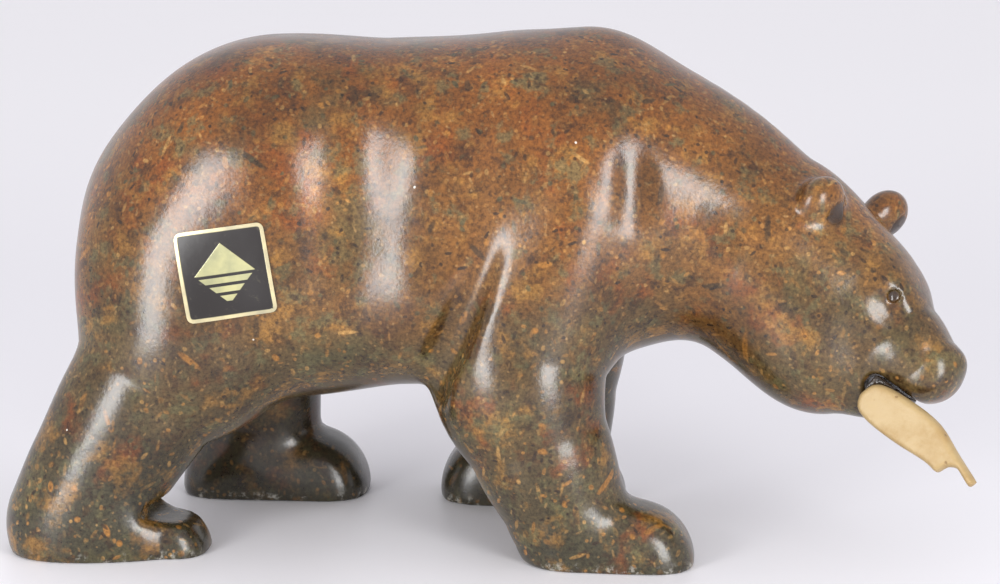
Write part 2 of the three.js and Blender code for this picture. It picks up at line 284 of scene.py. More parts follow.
@dataclass(frozen=True)
class HeadAxes:
    """The head's own axes: u towards the nose, v to its left and w up."""

    pitch: float = 38.0
    turn: float = 29.0
    origin: tuple[float, float, float] = (68.0, -13.0, 56.0)

    def matrix(self) -> np.ndarray:
        """Columns are the head's axes in the body's."""
        pitch = Matrix.Rotation(math.radians(self.pitch), 3, "Y")
        return np.array(pitch @ Matrix.Rotation(math.radians(-self.turn), 3, "Z"))

    def to_head(self, points: np.ndarray) -> np.ndarray:
        """Turns body points into head points."""
        return (points - self.origin) @ self.matrix()

    def to_body(self, points: np.ndarray) -> np.ndarray:
        """Turns head points into body points."""
        return points @ self.matrix().T + self.origin


def mirrored(
    side: int, stations: Sequence[Sequence[float]]
) -> tuple[tuple[float, float, float, float], ...]:
    """Stations on one side of the body.

    Args:
        side: RIGHT or LEFT.
        stations: each x, distance from the middle, z and radius.

    Returns:
        Each station's x, y, z and radius.
    """
    return tuple((x, side * spread, z, radius) for x, spread, z, radius in stations)


@dataclass(frozen=True)
class BearForm:
    """The carved shape of the bear, in millimetres."""

    foot_spread: float = 24.0
    foot_flatten: float = 0.86
    foot_squareness: float = 2.9
    sole_edge: float = 1.2
    eye_radius: float = 1.35
    ear_cup_halves: tuple[float, float, float] = (2.0, 2.3, 2.7)
    leg_melt: float = 8
    dent_melt: float = 0.5
    mouth_corner: tuple[float, float] = (25.0, -4.4)
    mouth_radius: float = 2.4
    ears: tuple[tuple[float, float, float], ...] = ((-7.5, -13.5, 17.0), (-4.8, 13.5, 20.8))
    rib_roll: tuple[tuple[float, ...], ...] = (
        (-42, 16, 57, 17),
        (-22, 16, 56.5, 17.2),
        (-4, 16, 55.5, 17.4),
    )
    side_cuts: tuple[tuple[tuple[tuple[float, ...], ...], float], ...] = (
        (((2.5, 37.5, 77, 3), (-1, 36.6, 66, 4), (-6.5, 35, 52, 4.5), (-13, 30, 38, 4.5)), 3.5),
        (
            (
                (-28.5, 36.5, 99, 9.2),
                (-28.5, 38.2, 88, 9.5),
                (-28.5, 40.8, 78, 9.6),
                (-29, 42.2, 66, 9.5),
                (-29.5, 42.6, 56, 9.2),
                (-30.5, 44, 46, 9),
            ),
            14,
        ),
        (((30.5, 33, 94, 4), (31, 33.2, 86, 4), (31, 35, 76, 4)), 5),
    )
    axes: HeadAxes = field(default_factory=HeadAxes)

    def trunk(self) -> list[Feature]:
        """The trunk with the masses that swell from it."""
        spine = Bar(
            (
                (-47, 0, 69, 39.2),
                (-22, 0, 70.4, 37.2),
                (4, 0, 71.8, 37),
                (18, -1, 74, 34),
            ),
            flatten=0.87,
            squareness=2.5,
            steps=16,
        )
        neck = Bar(((8, 0, 76, 30), (34, -2.5, 74.2, 26.4), (57, -8.5, 63.6, 22.6)), flatten=0.9)
        rolls = [Bar(mirrored(side, self.rib_roll)) for side in (RIGHT, LEFT)]
        return [
            Feature(spine, 1),
            Feature(neck, 11),
            *(Feature(roll, 8) for roll in rolls),
            Feature(Lump((-65, 0, 66), (26.5, 27, 27.5)), 8),
            Feature(Lump((-88.2, 0, 56), (4, 6.5, 11)), 3),
            Feature(Lump((20, 0, 91), (17, 17, 18.8)), 8),
            Feature(Lump((-66.5, -14, 57), (23.4, 20, 27), 12), 10),
            Feature(Lump((-60, 14, 57), (22, 20, 27), 6), 10),
            Feature(Lump((15.5, -15, 67), (15, 19, 31), 14), 10),
            Feature(Lump((14, 15, 67), (15, 19, 31), 6), 10),
        ]

    def leg(
        self, side: int, shank: Sequence[Sequence[float]], foot: Sequence[Sequence[float]]
    ) -> Feature:
        """A leg on one side of the body.

        Args:
            side: RIGHT or LEFT.
            shank: stations of the upper bar, each x, distance from the middle, z and radius.
            foot: stations of the foot.

        Returns:
            The leg.
        """
        top = Bar(mirrored(side, shank), flatten=self.foot_flatten)
        sole = Bar(mirrored(side, foot), flatten=self.foot_flatten, squareness=self.foot_squareness)
        return Feature(Leg(top, sole), self.leg_melt)

    def legs(self) -> list[Feature]:
        """The four legs in mid-stride: right hind, left hind, right fore, left fore."""
        return [
            self.leg(
                RIGHT,
                ((-64, 17, 46, 22), (-73.5, 21, 35, 17), (-84, 24, 17.5, 15.4), (-89, 24, 6, 15.5)),
                ((-88, 24, 4, 15), (-71, 24, -1, 10.5)),
            ),
            self.leg(
                LEFT,
                ((-56, 17, 50, 23), (-58, 21, 32, 14.8), (-57, 24, 18, 13.2), (-58.5, 24, 8, 13)),
                ((-62, 24, 2, 13.5), (-46, 24, 1, 13.5)),
            ),
            self.leg(
                RIGHT,
                (
                    (9, 17, 58, 21),
                    (5.6, 22, 40, 18.4),
                    (10.5, 24, 25, 15),
                    (15.8, 24, 12, 13.2),
                    (17, 24, 7, 12.2),
                ),
                ((21, 24, 3, 12), (31, 24, 0, 12.5)),
            ),
            self.leg(
                LEFT,
                ((10, 17, 60, 20), (10, 22, 40, 17), (10, 24, 25, 14.5), (9, 24, 12, 14)),
                ((-2, 24, 2, 13.5), (16, 24, 0, 11)),
            ),
        ]

    def head(self) -> list[Feature]:
        """Skull, cheeks, muzzle, jaw, nose, brows and ears, in the head's axes."""
        upper_jaw = Bar(((8, 0, 7, 12), (20, 0, 5, 9.3), (29, 0, 4.6, 7.4)), squareness=2.6)
        lower_jaw = Bar(((8, 0, -6, 12), (18, 0, -6.5, 8), (27, 0, -6, 5)))
        shapes = [
            (Lump((0, 0, -1), (19, 17.5, 20.8)), 10),
            (Lump((6.5, 0, -8.5), (15.5, 14.5, 13.4)), 6),
            (upper_jaw, 6),
            (lower_jaw, 5),
            (Lump((32, 0, 8), (3.4, 4.5, 3.6)), 2),
        ]
        for side in (RIGHT, LEFT):
            shapes.append((Lump((13, side * 6.5, 12), (6, 4.5, 4.2), 20), 4))
        for ear in self.ears:
            shapes.append((Lump(ear, (4.4, 6, 5.6)), 4))
        return [Feature(shape, melt, Place.HEAD) for shape, melt in shapes]

    def hollows(self) -> list[Feature]:
        """What is carved away: sockets, elbow grooves, waists, shoulder folds and a toe crease."""
        cuts = []
        for side in (RIGHT, LEFT):
            cuts.append(Feature(Lump((21, side * 12.2, 10.2), (5.6, 3.4, 3.4)), 5, Place.HEAD))
        for side in (RIGHT, LEFT):
            for stations, melt in self.side_cuts:
                cuts.append(Feature(Bar(mirrored(side, stations)), melt))
        cuts.append(Feature(Lump((-66, RIGHT * self.foot_spread, 9.6), (8, 22, 2.6)), 2))
        return cuts

    def dents(self) -> list[tuple[tuple[float, float, float], tuple[float, float, float]]]:
        """Middles and half sizes of the eyes and the ear cups, in the head's axes."""
        eye = (self.eye_radius, self.eye_radius, self.eye_radius)
        eyes = [((16.6, side * 9.4, 12.2), eye) for side in (RIGHT, LEFT)]
        cups = [((u + 4.2, v, w + 0.4), self.ear_cup_halves) for u, v, w in self.ears]
        return eyes + cups

    def drillings(self) -> list[Feature]:
        """Eyes and ear cups, in the head's axes."""
        return [Feature(Lump(*dent), self.dent_melt, Place.HEAD) for dent in self.dents()]

    def mouth(self, head_points: np.ndarray) -> np.ndarray:
        """Distances to the open mouth, a slot that runs right across the muzzle."""
        u, w = self.mouth_corner
        start, run = np.array([u, w]), np.array([15.0, 0.8])
        off = head_points[:, [0, 2]] - start
        t = np.clip(off @ run / (run @ run), 0.0, 1.0)
        return np.linalg.norm(off - t[:, None] * run, axis=1) - (self.mouth_radius + 0.2 * t)

    def distance(self, points: np.ndarray) -> np.ndarray:
        """Distances from body points, given as rows of x, y, z, to the carved surface."""
        spine, *swells = self.trunk()
        so_far = spine.shape.distance(points)
        for feature in swells:
            feature.apply(so_far, points, smooth_min, 1)
        for leg in self.legs():
            leg.apply(so_far, points, smooth_min, 1)
        head_points = self.axes.to_head(points)
        own = {Place.BODY: points, Place.HEAD: head_points}
        for feature in self.head():
            feature.apply(so_far, own[feature.place], smooth_min, 1)
        for feature in self.hollows() + self.drillings():
            feature.apply(so_far, own[feature.place], smooth_max, -1)
        so_far = smooth_max(so_far, -self.mouth(head_points), 0.6)
        return smooth_max(so_far, -points[:, 2], self.sole_edge)


# ---------------------------------------------------------------- mesh tools


def carving_points(mesh: bpy.types.Mesh) -> np.ndarray:
    """The vertices of a mesh in the carving's millimetres, as rows of x, y, z."""
    flat = np.empty(len(mesh.vertices) * 3)
    mesh.vertices.foreach_get("co", flat)
    return flat.reshape(-1, 3) / MM - PLACE


def put_points(mesh: bpy.types.Mesh, points: np.ndarray) -> None:
    """Moves the vertices of a mesh to points in the carving's millimetres."""
    mesh.vertices.foreach_set("co", ((points + PLACE) * MM).ravel())
    mesh.update()


def linked(name: str, mesh: bpy.types.Mesh) -> bpy.types.Object:
    """Puts a mesh into the scene as an object at the origin."""
    piece = bpy.data.objects.new(name, mesh)
    bpy.context.scene.collection.objects.link(piece)
    return piece


def merged_copy(node: str) -> bpy.types.Mesh:
    """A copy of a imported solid's mesh with its loose triangles joined."""
    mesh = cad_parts[node].data.copy()
    mesh.materials.clear()
    work = bmesh.new()
    work.from_mesh(mesh)
    bmesh.ops.remove_doubles(work, verts=work.verts, dist=1e-6)
    work.to_mesh(mesh)
    work.free()
    return mesh


def even_mesh(mesh: bpy.types.Mesh, cell: float) -> bpy.types.Mesh:
    """Covers a closed mesh with even four-sided faces.

    Args:
        mesh: the closed mesh, which is used up.
        cell: the size of a face in millimetres.

    Returns:
        The new mesh.
    """
    work = linked("even_work", mesh)
    even = work.modifiers.new("even", "REMESH")
    even.mode = "VOXEL"
    even.voxel_size = cell * MM
    graph = bpy.context.evaluated_depsgraph_get()
    result = bpy.data.meshes.new_from_object(work.evaluated_get(graph))
    bpy.data.objects.remove(work)
    return result


def finished(piece: bpy.types.Object, sharp_angle: float) -> None:
    """Shades a piece smooth, but for its edges that turn more than sharp_angle degrees."""
    mesh = piece.data
    mesh.polygons.foreach_set("use_smooth", [True] * len(mesh.polygons))
    mesh.set_sharp_from_angle(angle=math.radians(sharp_angle))


def dressed(
    piece: bpy.types.Object, node: str, material: bpy.types.Material
) -> None:
    """Gives a piece its finish and its place in the frame.

    Args:
        piece: the finished piece.
        node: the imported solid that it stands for.
        material: its material.
    """
    piece.data.materials.append(material)
    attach(piece, BODY)
    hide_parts(node)


# ---------------------------------------------------------------- shader tools


class Graph:
    """A node tree with short methods that add and link its nodes."""

    def __init__(self, tree: bpy.types.NodeTree) -> None:
        """Starts on an empty tree."""
        self.tree = tree
        self.column = 0

    def add(self, kind: str, **settings: object) -> bpy.types.Node:
        """Adds a node of a kind and sets its properties."""
        node = self.tree.nodes.new(kind)
        self.column += 1
        node.location = (self.column * 40, -self.column * 30)
        for name, value in settings.items():
            setattr(node, name, value)
        return node

    def feed(self, socket: bpy.types.NodeSocket, value: object) -> None:
        """Links a socket to another one, or sets its value."""
        if isinstance(value, bpy.types.NodeSocket):
            self.tree.links.new(value, socket)
        else:
            socket.default_value = value

    def math(self, operation: str, *values: object) -> bpy.types.NodeSocket:
        """A Math node on one to three values."""
        node = self.add("ShaderNodeMath", operation=operation)
        for socket, value in zip(node.inputs, values):
            self.feed(socket, value)
        return node.outputs[0]

    def vector(self, operation: str, *values: object) -> bpy.types.NodeSocket:
        """A Vector Math node, whose result is a vector, or a number for LENGTH."""
        node = self.add("ShaderNodeVectorMath", operation=operation)
        for socket, value in zip(node.inputs, values):
            self.feed(socket, value)
        return node.outputs["Value" if operation in ("LENGTH", "DOT_PRODUCT") else "Vector"]

    def noise(self, place: object, scale: float, detail: float = 3.0, **more: float) -> object:
        """A Noise Texture's value, with its scale in features to a metre."""
        node = self.add("ShaderNodeTexNoise")
        self.feed(node.inputs["Vector"], place)
        node.inputs["Scale"].default_value = scale
        node.inputs["Detail"].default_value = detail
        for name, value in more.items():
            node.inputs[name.capitalize()].default_value = value
        return node.outputs["Fac"]

    def step(self, value: object, low: object, high: object) -> bpy.types.NodeSocket:
        """Rises smoothly from 0 at low to 1 at high."""
        node = self.add("ShaderNodeMapRange", interpolation_type="SMOOTHSTEP")
        self.feed(node.inputs["Value"], value)
        self.feed(node.inputs["From Min"], low)
        self.feed(node.inputs["From Max"], high)
        return node.outputs["Result"]

    def below(self, value: object, low: float, high: float) -> bpy.types.NodeSocket:
        """Falls smoothly from 1 at low to 0 at high."""
        return self.math("SUBTRACT", 1.0, self.step(value, low, high))

    def split(self, vector: object) -> bpy.types.NodeOutputs:
        """The X, Y and Z of a vector."""
        node = self.add("ShaderNodeSeparateXYZ")
        self.feed(node.inputs[0], vector)
        return node.outputs

    def bump(self, height: object, strength: float, distance: float) -> bpy.types.NodeSocket:
        """A normal that is raised by a height.

        Args:
            height: the height, as a number from 0 to about 1.
            strength: how far the normal follows it.
            distance: what a height of 1 stands for, in metres.

        Returns:
            The normal.
        """
        node = self.add("ShaderNodeBump")
        node.inputs["Strength"].default_value = strength
        node.inputs["Distance"].default_value = distance
        self.feed(node.inputs["Height"], height)
        return node.outputs["Normal"]

    def mix(self, share: object, a: object, b: object, blend: str = "MIX") -> object:
        """Mixes two colours."""
        node = self.add("ShaderNodeMix", data_type="RGBA", blend_type=blend)
        self.feed(node.inputs["Factor"], share)
        self.feed(node.inputs[6], a)
        self.feed(node.inputs[7], b)
        return node.outputs[2]

    def ramp(self, value: object, *stops: tuple[float, tuple[float, float, float]]) -> object:
        """A Color Ramp with its stops as (position, colour)."""
        node = self.add("ShaderNodeValToRGB")
        stones = node.color_ramp.elements
        for extra in stops[2:]:
            stones.new(extra[0])
        for stone, (position, colour) in zip(stones, stops):
            stone.position = position
            stone.color = (*colour, 1.0)
        self.feed(node.inputs["Fac"], value)
        return node.outputs["Color"]

    def coordinates(self) -> bpy.types.NodeSocket:
        """The piece's own coordinates."""
        return self.add("ShaderNodeTexCoord").outputs["Object"]

    def group(self, tree: bpy.types.NodeTree, **values: object) -> bpy.types.Node:
        """Places a node group, with its inputs named in lower case."""
        node = self.add("ShaderNodeGroup")
        node.node_tree = tree
        for name, value in values.items():
            self.feed(node.inputs[name.replace("_", " ").capitalize()], value)
        return node


def new_group(
    name: str, inputs: Sequence[tuple[str, str, object]], outputs: Sequence[tuple[str, str]]
) -> tuple[Graph, bpy.types.Node, bpy.types.Node]:
    """Starts a shader node group.

    Args:
        name: the group's name.
        inputs: each input's name, socket type and default value.
        outputs: each output's name and socket type.

    Returns:
        Its graph, its input node and its output node.
    """
    tree = bpy.data.node_groups.new(name, "ShaderNodeTree")
    for label, kind, default in inputs:
        socket = tree.interface.new_socket(label, in_out="INPUT", socket_type=kind)
        if default is not None:
            socket.default_value = default
    for label, kind in outputs:
        tree.interface.new_socket(label, in_out="OUTPUT", socket_type=kind)
    graph = Graph(tree)
    return graph, graph.add("NodeGroupInput"), graph.add("NodeGroupOutput")


def fleck_group() -> bpy.types.NodeTree:
    """Slender flecks that lie every way, one in each cell of a loose packing.

    Returns:
        The group, whose Mask is 1 on a fleck and whose Tone is a number for each fleck.
    """
    graph, given, out = new_group(
        "flecks",
        [
            ("Place", "NodeSocketVector", None),
            ("Cells", "NodeSocketFloat", 400.0),
            ("Slenderness", "NodeSocketFloat", 4.0),
            ("Size", "NodeSocketFloat", 0.4),
            ("Share", "NodeSocketFloat", 0.5),
        ],
        [("Mask", "NodeSocketFloat"), ("Tone", "NodeSocketFloat")],
    )
    cells = graph.add("ShaderNodeTexVoronoi", feature="F1")
    graph.feed(cells.inputs["Vector"], given.outputs["Place"])
    graph.feed(cells.inputs["Scale"], given.outputs["Cells"])
    off = graph.vector("SUBTRACT", given.outputs["Place"], cells.outputs["Position"])
    scaled = graph.add("ShaderNodeVectorMath", operation="SCALE")
    graph.feed(scaled.inputs[0], off)
    graph.feed(scaled.inputs["Scale"], given.outputs["Cells"])
    spun = graph.vector("MULTIPLY", cells.outputs["Color"], (6.28, 6.28, 6.28))
    turned = graph.add("ShaderNodeVectorRotate", rotation_type="EULER_XYZ")
    graph.feed(turned.inputs["Vector"], scaled.outputs[0])
    graph.feed(turned.inputs["Rotation"], spun)
    thin = graph.add("ShaderNodeCombineXYZ")
    thin.inputs["X"].default_value = 1.0
    graph.feed(thin.inputs["Y"], given.outputs["Slenderness"])
    graph.feed(thin.inputs["Z"], given.outputs["Slenderness"])
    squeezed = graph.vector("MULTIPLY", turned.outputs[0], thin.outputs[0])
    reach = graph.vector("LENGTH", squeezed)
    inner = graph.math("MULTIPLY", given.outputs["Size"], 0.55)
    inside = graph.math("SUBTRACT", 1.0, graph.step(reach, inner, given.outputs["Size"]))
    tones = graph.add("ShaderNodeSeparateColor")
    graph.feed(tones.inputs[0], cells.outputs["Color"])
    chosen = graph.math("LESS_THAN", tones.outputs[0], given.outputs["Share"])
    graph.feed(out.inputs["Mask"], graph.math("MULTIPLY", inside, chosen))
    graph.feed(out.inputs["Tone"], tones.outputs[1])
    return graph.tree


def relief_group() -> bpy.types.NodeTree:
    """A height made of wide and fine unevenness, as on a hand-rubbed surface."""
    graph, given, out = new_group(
        "hand_rubbed_relief",
        [
            ("Place", "NodeSocketVector", None),
            ("Wide", "NodeSocketFloat", 240.0),
            ("Fine", "NodeSocketFloat", 1500.0),
        ],
        [("Height", "NodeSocketFloat")],
    )
    heights = []
    for scale, detail in (("Wide", 3.0), ("Fine", 2.0)):
        node = graph.add("ShaderNodeTexNoise")
        graph.feed(node.inputs["Vector"], given.outputs["Place"])
        graph.feed(node.inputs["Scale"], given.outputs[scale])
        node.inputs["Detail"].default_value = detail
        heights.append(node.outputs["Fac"])
    fine = graph.math("MULTIPLY", heights[1], 0.35)
    graph.feed(out.inputs["Height"], graph.math("ADD", heights[0], fine))
    return graph.tree


# ---------------------------------------------------------------- finishes


def blank_material(name: str) -> tuple[bpy.types.Material, Graph, bpy.types.Node]:
    """Starts a material.

    Args:
        name: the material's name.

    Returns:
        The material, its graph and its shader.
    """
    made = bpy.data.materials.new(name)
    made.use_nodes = True
    return made, Graph(made.node_tree), made.node_tree.nodes["Principled BSDF"]


@dataclass(frozen=True)
class SoapstoneFinish:
    """Polished soapstone, rust and ochre above and grey-green below, with slender flecks."""

    flecks: bpy.types.NodeTree
    relief: bpy.types.NodeTree
    # Painted shade: middles and radii of the eyes and ear cups, which are darkened inside.
    hollow_shade_places: tuple[tuple[tuple[float, float, float], float], ...] = ()
    top: tuple[float, float, float] = (0.175, 0.070, 0.0155)
    middle: tuple[float, float, float] = (0.160, 0.077, 0.022)
    low: tuple[float, float, float] = (0.088, 0.064, 0.034)
    foot: tuple[float, float, float] = (0.044, 0.044, 0.034)
    depth: tuple[float, float, float] = (0.80, 0.69, 0.46)
    # Painted shade low on the left side: its colour and how strongly it is laid on.
    painted_shade_colour: tuple[float, float, float] = (0.020, 0.017, 0.012)
    painted_shade_strength: float = 0.62
    chalk: tuple[float, float, float] = (0.50, 0.48, 0.42)

    def height_colour(self, graph: Graph, place: object, height: object) -> object:
        """The stone's broad colour, which changes with the height and in wide patches.

        Args:
            graph: the material's graph.
            place: the place on the stone.
            height: its height in metres.

        Returns:
            The colour.
        """
        wide = graph.noise(place, 34.0, 3.0, roughness=0.55)
        drift = graph.math("MULTIPLY_ADD", wide, 0.07, -0.035)
        level = graph.math("MULTIPLY", graph.math("ADD", height, drift), 9.0)
        return graph.ramp(
            level,
            (0.10, self.foot),
            (0.38, self.low),
            (0.62, self.middle),
            (0.86, self.top),
        )

    def patches(self, graph: Graph, place: object, base: object) -> object:
        """Adds patches of rust, ochre, grey-green and dark brown at several sizes.

        Args:
            graph: the material's graph.
            place: the place on the stone.
            base: the colour so far.

        Returns:
            The colour with them.
        """
        for scale, low, high, colour, strength in (
            (52.0, 0.52, 0.66, (0.088, 0.088, 0.052), 0.62),
            (70.0, 0.55, 0.68, (0.205, 0.056, 0.010), 0.58),
            (105.0, 0.55, 0.68, (0.050, 0.022, 0.012), 0.62),
            (135.0, 0.53, 0.68, (0.30, 0.170, 0.050), 0.60),
            (190.0, 0.54, 0.66, (0.105, 0.112, 0.072), 0.60),
            (260.0, 0.56, 0.66, (0.032, 0.016, 0.010), 0.62),
        ):
            shifted = graph.vector("ADD", place, (scale * 0.013, scale * 0.007, scale * 0.003))
            mask = graph.step(graph.noise(shifted, scale, 4.0, roughness=0.62), low, high)
            base = graph.mix(graph.math("MULTIPLY", mask, strength), base, (*colour, 1.0))
        return base

    def fibres(self, graph: Graph, place: object, base: object) -> object:
        """Adds the slender crystals, pale, golden and dark.

        Args:
            graph: the material's graph.
            place: the place on the stone.
            base: the colour so far.

        Returns:
            The colour with them.
        """
        for cells, slender, size, share, colour, strength in (
            (165.0, 7.0, 0.95, 0.65, (0.30, 0.150, 0.040), 0.60),
            (190.0, 6.0, 0.95, 0.60, (0.050, 0.034, 0.020), 0.60),
            (240.0, 7.0, 0.95, 0.60, (0.36, 0.235, 0.105), 0.55),
            (300.0, 5.0, 0.95, 0.60, (0.080, 0.078, 0.050), 0.60),
            (430.0, 4.2, 0.90, 0.60, (0.30, 0.165, 0.060), 0.55),
            (520.0, 3.4, 0.85, 0.55, (0.026, 0.016, 0.011), 0.60),
            (700.0, 3.6, 0.85, 0.45, (0.32, 0.22, 0.12), 0.35),
        ):
            layer = graph.group(
                self.flecks, place=place, cells=cells, slenderness=slender, size=size, share=share
            )
            strong = graph.math("MULTIPLY", layer.outputs["Mask"], strength)
            strong = graph.math("MULTIPLY", strong, layer.outputs["Tone"])
            base = graph.mix(graph.math("MULTIPLY", strong, 1.5), base, (*colour, 1.0))
        return base

    def material(self) -> bpy.types.Material:
        """Builds the material."""
        made, graph, shader = blank_material("polished_soapstone")
        place = graph.coordinates()
        parts = graph.split(place)
        height = parts["Z"]
        base = self.height_colour(graph, place, height)
        base = self.patches(graph, place, base)
        base = self.fibres(graph, place, base)
        grain = graph.noise(place, 1250.0, 3.0, roughness=0.7)
        shade = graph.ramp(grain, (0.32, (0.52, 0.50, 0.48)), (0.68, (1.55, 1.55, 1.58)))
        base = graph.mix(1.0, base, shade, "MULTIPLY")
        cloud = graph.noise(place, 48.0, 5.0, roughness=0.6)
        tone = graph.ramp(cloud, (0.34, (0.66, 0.66, 0.68)), (0.66, (1.32, 1.30, 1.26)))
        base = graph.mix(1.0, base, tone, "MULTIPLY")
        base = graph.mix(1.0, base, (*self.depth, 1.0), "MULTIPLY")
        # Painted shade: low down on the left side, the far side from the camera, the colour is
        # darkened to stand in for the shadow on the far legs and under the belly.
        left = graph.step(parts["Y"], -0.004, 0.026)
        dark = graph.math("MULTIPLY", left, graph.below(height, 0.006, 0.066))
        dark = graph.math("MULTIPLY", dark, self.painted_shade_strength)
        base = graph.mix(dark, base, (*self.painted_shade_colour, 1.0))
        speck = graph.group(
            self.flecks, place=place, cells=150.0, slenderness=1.3, size=0.055, share=0.12
        )
        base = graph.mix(speck.outputs["Mask"], base, (0.62, 0.58, 0.50, 1.0))
        edge = graph.below(height, 0.0004, 0.0030)
        crumble = graph.step(graph.noise(place, 300.0, 5.0, roughness=0.7), 0.52, 0.66)
        chips = graph.math("MULTIPLY", graph.math("MULTIPLY", edge, crumble), 0.62)
        base = graph.mix(chips, base, (*self.chalk, 1.0))
        # Painted shade: the drilled eyes and the ear cups are darkened inside to stand in for the
        # shadow in these holes.
        for middle, radius in self.hollow_shade_places:
            off = graph.vector("SUBTRACT", place, middle)
            reach = graph.vector("LENGTH", off)
            inside = graph.below(reach, 0.72 * radius, 1.08 * radius)
            strong = graph.math("MULTIPLY", inside, 0.9)
            base = graph.mix(strong, base, (0.022, 0.011, 0.006, 1.0))
        graph.feed(shader.inputs["Base Color"], base)
        smear = graph.noise(place, 95.0, 4.0, roughness=0.6)
        rough = graph.math("MULTIPLY_ADD", smear, 0.20, 0.13)
        graph.feed(shader.inputs["Roughness"], graph.math("MAXIMUM", rough, chips))
        relief = graph.group(self.relief, place=place, wide=240.0, fine=1500.0)
        graph.feed(shader.inputs["Normal"], graph.bump(relief.outputs["Height"], 0.30, 0.00022))
        shader.inputs["IOR"].default_value = 1.54
        return made


@dataclass(frozen=True)
class CreamStoneFinish:
    """Cream stone with a soft sheen, faint tan clouds and a few dark pores."""

    relief: bpy.types.NodeTree
    cream: tuple[float, float, float] = (0.40, 0.285, 0.130)
    tan: tuple[float, float, float] = (0.34, 0.220, 0.085)

    def material(self) -> bpy.types.Material:
        """Builds the material."""
        made, graph, shader = blank_material("cream_stone")
        place = graph.coordinates()
        cloud = graph.step(graph.noise(place, 130.0, 5.0, roughness=0.65), 0.42, 0.72)
        base = graph.mix(cloud, (*self.cream, 1.0), (*self.tan, 1.0))
        pores = graph.add("ShaderNodeTexVoronoi", feature="F1")
        graph.feed(pores.inputs["Vector"], place)
        pores.inputs["Scale"].default_value = 430.0
        few = graph.step(graph.noise(place, 210.0, 2.0), 0.50, 0.62)
        hole = graph.below(pores.outputs["Distance"], 0.08, 0.2)
        hole = graph.math("MULTIPLY", hole, few)
        base = graph.mix(graph.math("MULTIPLY", hole, 0.7), base, (0.20, 0.12, 0.05, 1.0))
        graph.feed(shader.inputs["Base Color"], base)
        graph.feed(shader.inputs["Roughness"], graph.math("MULTIPLY_ADD", cloud, 0.15, 0.42))
        relief = graph.group(self.relief, place=place, wide=320.0, fine=1400.0)
        height = graph.math("SUBTRACT", relief.outputs["Height"], hole)
        graph.feed(shader.inputs["Normal"], graph.bump(height, 0.45, 0.0003))
        return made


@dataclass(frozen=True)
class GlueFinish:
    """Dark glossy glue with a lumpy skin."""

    relief: bpy.types.NodeTree

    def material(self) -> bpy.types.Material:
        """Builds the material."""
        made, graph, shader = blank_material("dark_glue")
        place = graph.coordinates()
        cloud = graph.noise(place, 500.0, 3.0)
        base = graph.ramp(cloud, (0.35, (0.010, 0.007, 0.005)), (0.7, (0.045, 0.028, 0.016)))
        graph.feed(shader.inputs["Base Color"], base)
        graph.feed(shader.inputs["Roughness"], graph.math("MULTIPLY_ADD", cloud, 0.25, 0.08))
        relief = graph.group(self.relief, place=place, wide=600.0, fine=1500.0)
        graph.feed(shader.inputs["Normal"], graph.bump(relief.outputs["Height"], 0.8, 0.0005))
        return made


@dataclass(frozen=True)
class FoilFinish:
    """Brass foil printed black, with a bare rim and a plain lozenge crossed by bars."""

    rim: float = 0.040
    lozenge: float = 0.33
    bar_pace: float = 62.0
    gold: tuple[float, float, float] = (0.44, 0.43, 0.245)
    rim_gold: tuple[float, float, float] = (0.60, 0.53, 0.34)
    ink: tuple[float, float, float] = (0.014, 0.011, 0.010)

    def material(self) -> bpy.types.Material:
        """Builds the material."""
        made, graph, shader = blank_material("brass_foil")
        spot = graph.add("ShaderNodeUVMap", uv_map="seal").outputs[0]
        centred = graph.vector("ABSOLUTE", graph.vector("SUBTRACT", spot, (0.5, 0.5, 0.0)))
        parts = graph.split(centred)
        across, up = parts["X"], parts["Y"]
        outer = graph.math("MAXIMUM", across, up)
        rim = graph.step(outer, 0.5 - self.rim - 0.006, 0.5 - self.rim + 0.006)
        reach = graph.math("ADD", across, up)
        inside = graph.below(reach, self.lozenge, self.lozenge + 0.012)
        level = graph.split(spot)["Y"]
        wave = graph.math("SINE", graph.math("MULTIPLY", level, self.bar_pace))
        gaps = graph.math(
            "MULTIPLY", graph.below(wave, -0.55, -0.35), graph.below(level, 0.49, 0.51)
        )
        inside = graph.math("MULTIPLY", inside, graph.math("SUBTRACT", 1.0, gaps))
        place = graph.coordinates()
        wear = graph.step(graph.noise(place, 700.0, 5.0, roughness=0.7), 0.60, 0.72)
        metal = graph.math("MAXIMUM", rim, inside)
        colour = graph.mix(rim, (*self.gold, 1.0), (*self.rim_gold, 1.0))
        blotch = graph.ramp(
            graph.noise(place, 260.0, 4.0), (0.3, (0.72, 0.74, 0.76)), (0.7, (1.15, 1.12, 1.0))
        )
        colour = graph.mix(1.0, colour, blotch, "MULTIPLY")
        base = graph.mix(metal, (*self.ink, 1.0), colour)
        base = graph.mix(graph.math("MULTIPLY", wear, 0.30), base, (0.10, 0.085, 0.05, 1.0))
        graph.feed(shader.inputs["Base Color"], base)
        graph.feed(shader.inputs["Metallic"], graph.math("MULTIPLY", metal, 0.55))
        graph.feed(shader.inputs["Roughness"], graph.math("MULTIPLY_ADD", wear, 0.25, 0.30))
        height = graph.math("ADD", metal, graph.noise(place, 300.0, 3.0))
        graph.feed(shader.inputs["Normal"], graph.bump(height, 0.25, 0.0002))
        return made


